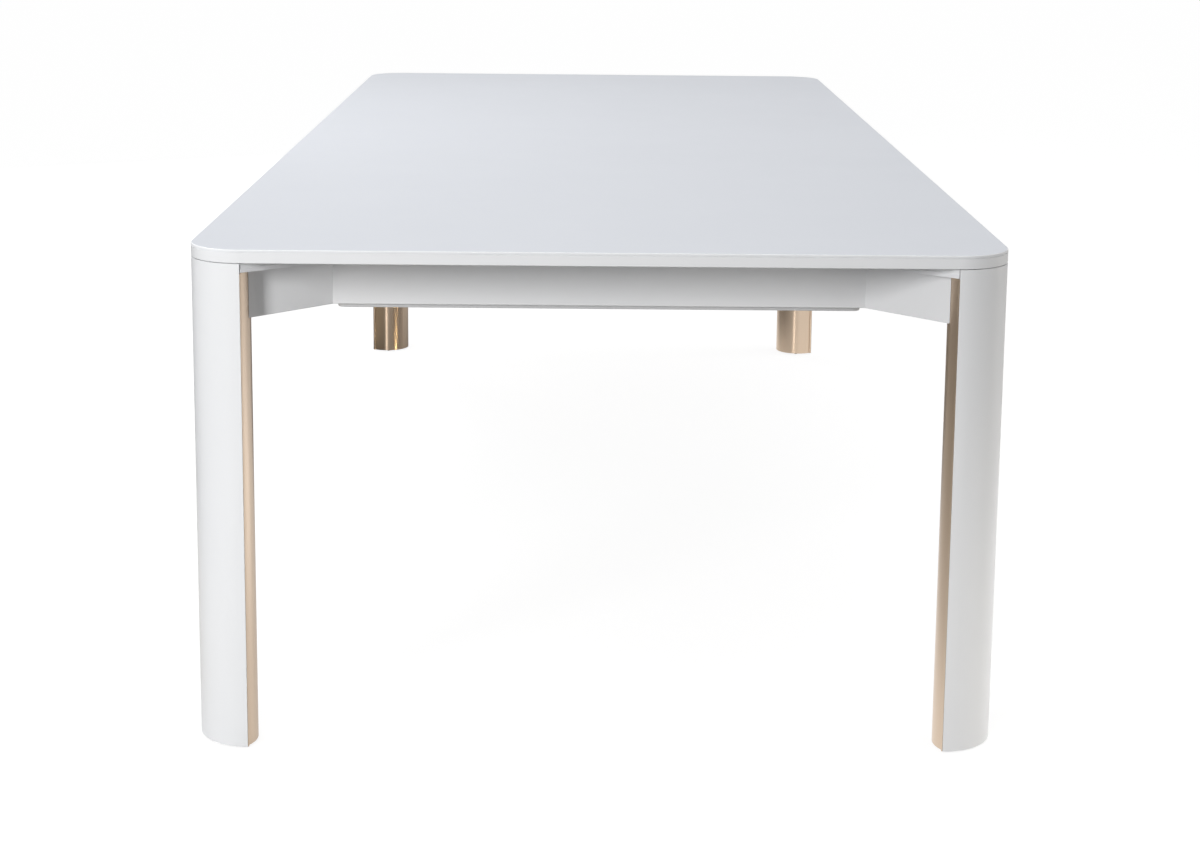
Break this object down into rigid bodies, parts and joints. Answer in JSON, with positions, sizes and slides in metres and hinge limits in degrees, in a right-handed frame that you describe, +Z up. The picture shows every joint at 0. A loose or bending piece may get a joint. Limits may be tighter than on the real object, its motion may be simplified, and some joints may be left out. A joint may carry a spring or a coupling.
{
  "type": "dining table",
  "caption": "Long rectangular dining table with a thin pale top, rounded corners, and corner legs of almond section with white outer and brass inner faces, on a set-back frame.",
  "frame": {"origin": "on the floor, under the middle of the top", "axes": "+Z up, +Y along the table's length away from the near end, +X across its width to the right"},
  "size_m": [1.2, 2.8, 0.755],
  "materials": {
    "top_face": "silk matt, pale blue-grey white",
    "white_lacquer": "white satin lacquer over board, no grain showing",
    "leg_brass": "satin, brushed along the leg",
    "white_steel": "white powder coat",
    "timber": "planed beech",
    "floor_pad": "dull grey",
    "zinc_steel": "zinc plated"
  },
  "bodies": {
    "root": {"top_sheet": "top_face", "top_core": "white_lacquer", "end_apron_near": "white_lacquer", "end_apron_far": "white_lacquer", "side_rail_left": "white_lacquer", "side_rail_right": "white_lacquer", "cross_rail_1": "white_lacquer", "cross_rail_2": "white_lacquer", "cross_rail_3": "white_lacquer", "bottom_panel": "white_lacquer", "leg_shell_near_left": "white_lacquer", "leg_shell_near_right": "white_lacquer", "leg_shell_far_left": "white_lacquer", "leg_shell_far_right": "white_lacquer", "leg_arm_near_left": "white_lacquer", "leg_arm_near_right": "white_lacquer", "leg_arm_far_left": "white_lacquer", "leg_arm_far_right": "white_lacquer", "head_spacer_near_left": "white_lacquer", "head_spacer_near_right": "white_lacquer", "head_spacer_far_left": "white_lacquer", "head_spacer_far_right": "white_lacquer", "leg_brass_near_left": "leg_brass", "leg_brass_near_right": "leg_brass", "leg_brass_far_left": "leg_brass", "leg_brass_far_right": "leg_brass", "head_plate_near_left": "white_steel", "head_plate_near_right": "white_steel", "head_plate_far_left": "white_steel", "head_plate_far_right": "white_steel", "leg_core_near_left": "timber", "leg_core_near_right": "timber", "leg_core_far_left": "timber", "leg_core_far_right": "timber", "frame_dowels": "timber", "leg_pad_near_left": "floor_pad", "leg_pad_near_right": "floor_pad", "leg_pad_far_left": "floor_pad", "leg_pad_far_right": "floor_pad", "head_screws": "zinc_steel", "leg_bolts": "zinc_steel", "arm_screws": "zinc_steel", "arm_bolts": "zinc_steel", "arm_washers": "zinc_steel", "top_brackets": "zinc_steel", "bracket_screws": "zinc_steel", "panel_screws": "zinc_steel"}
  },
  "joints": []
}
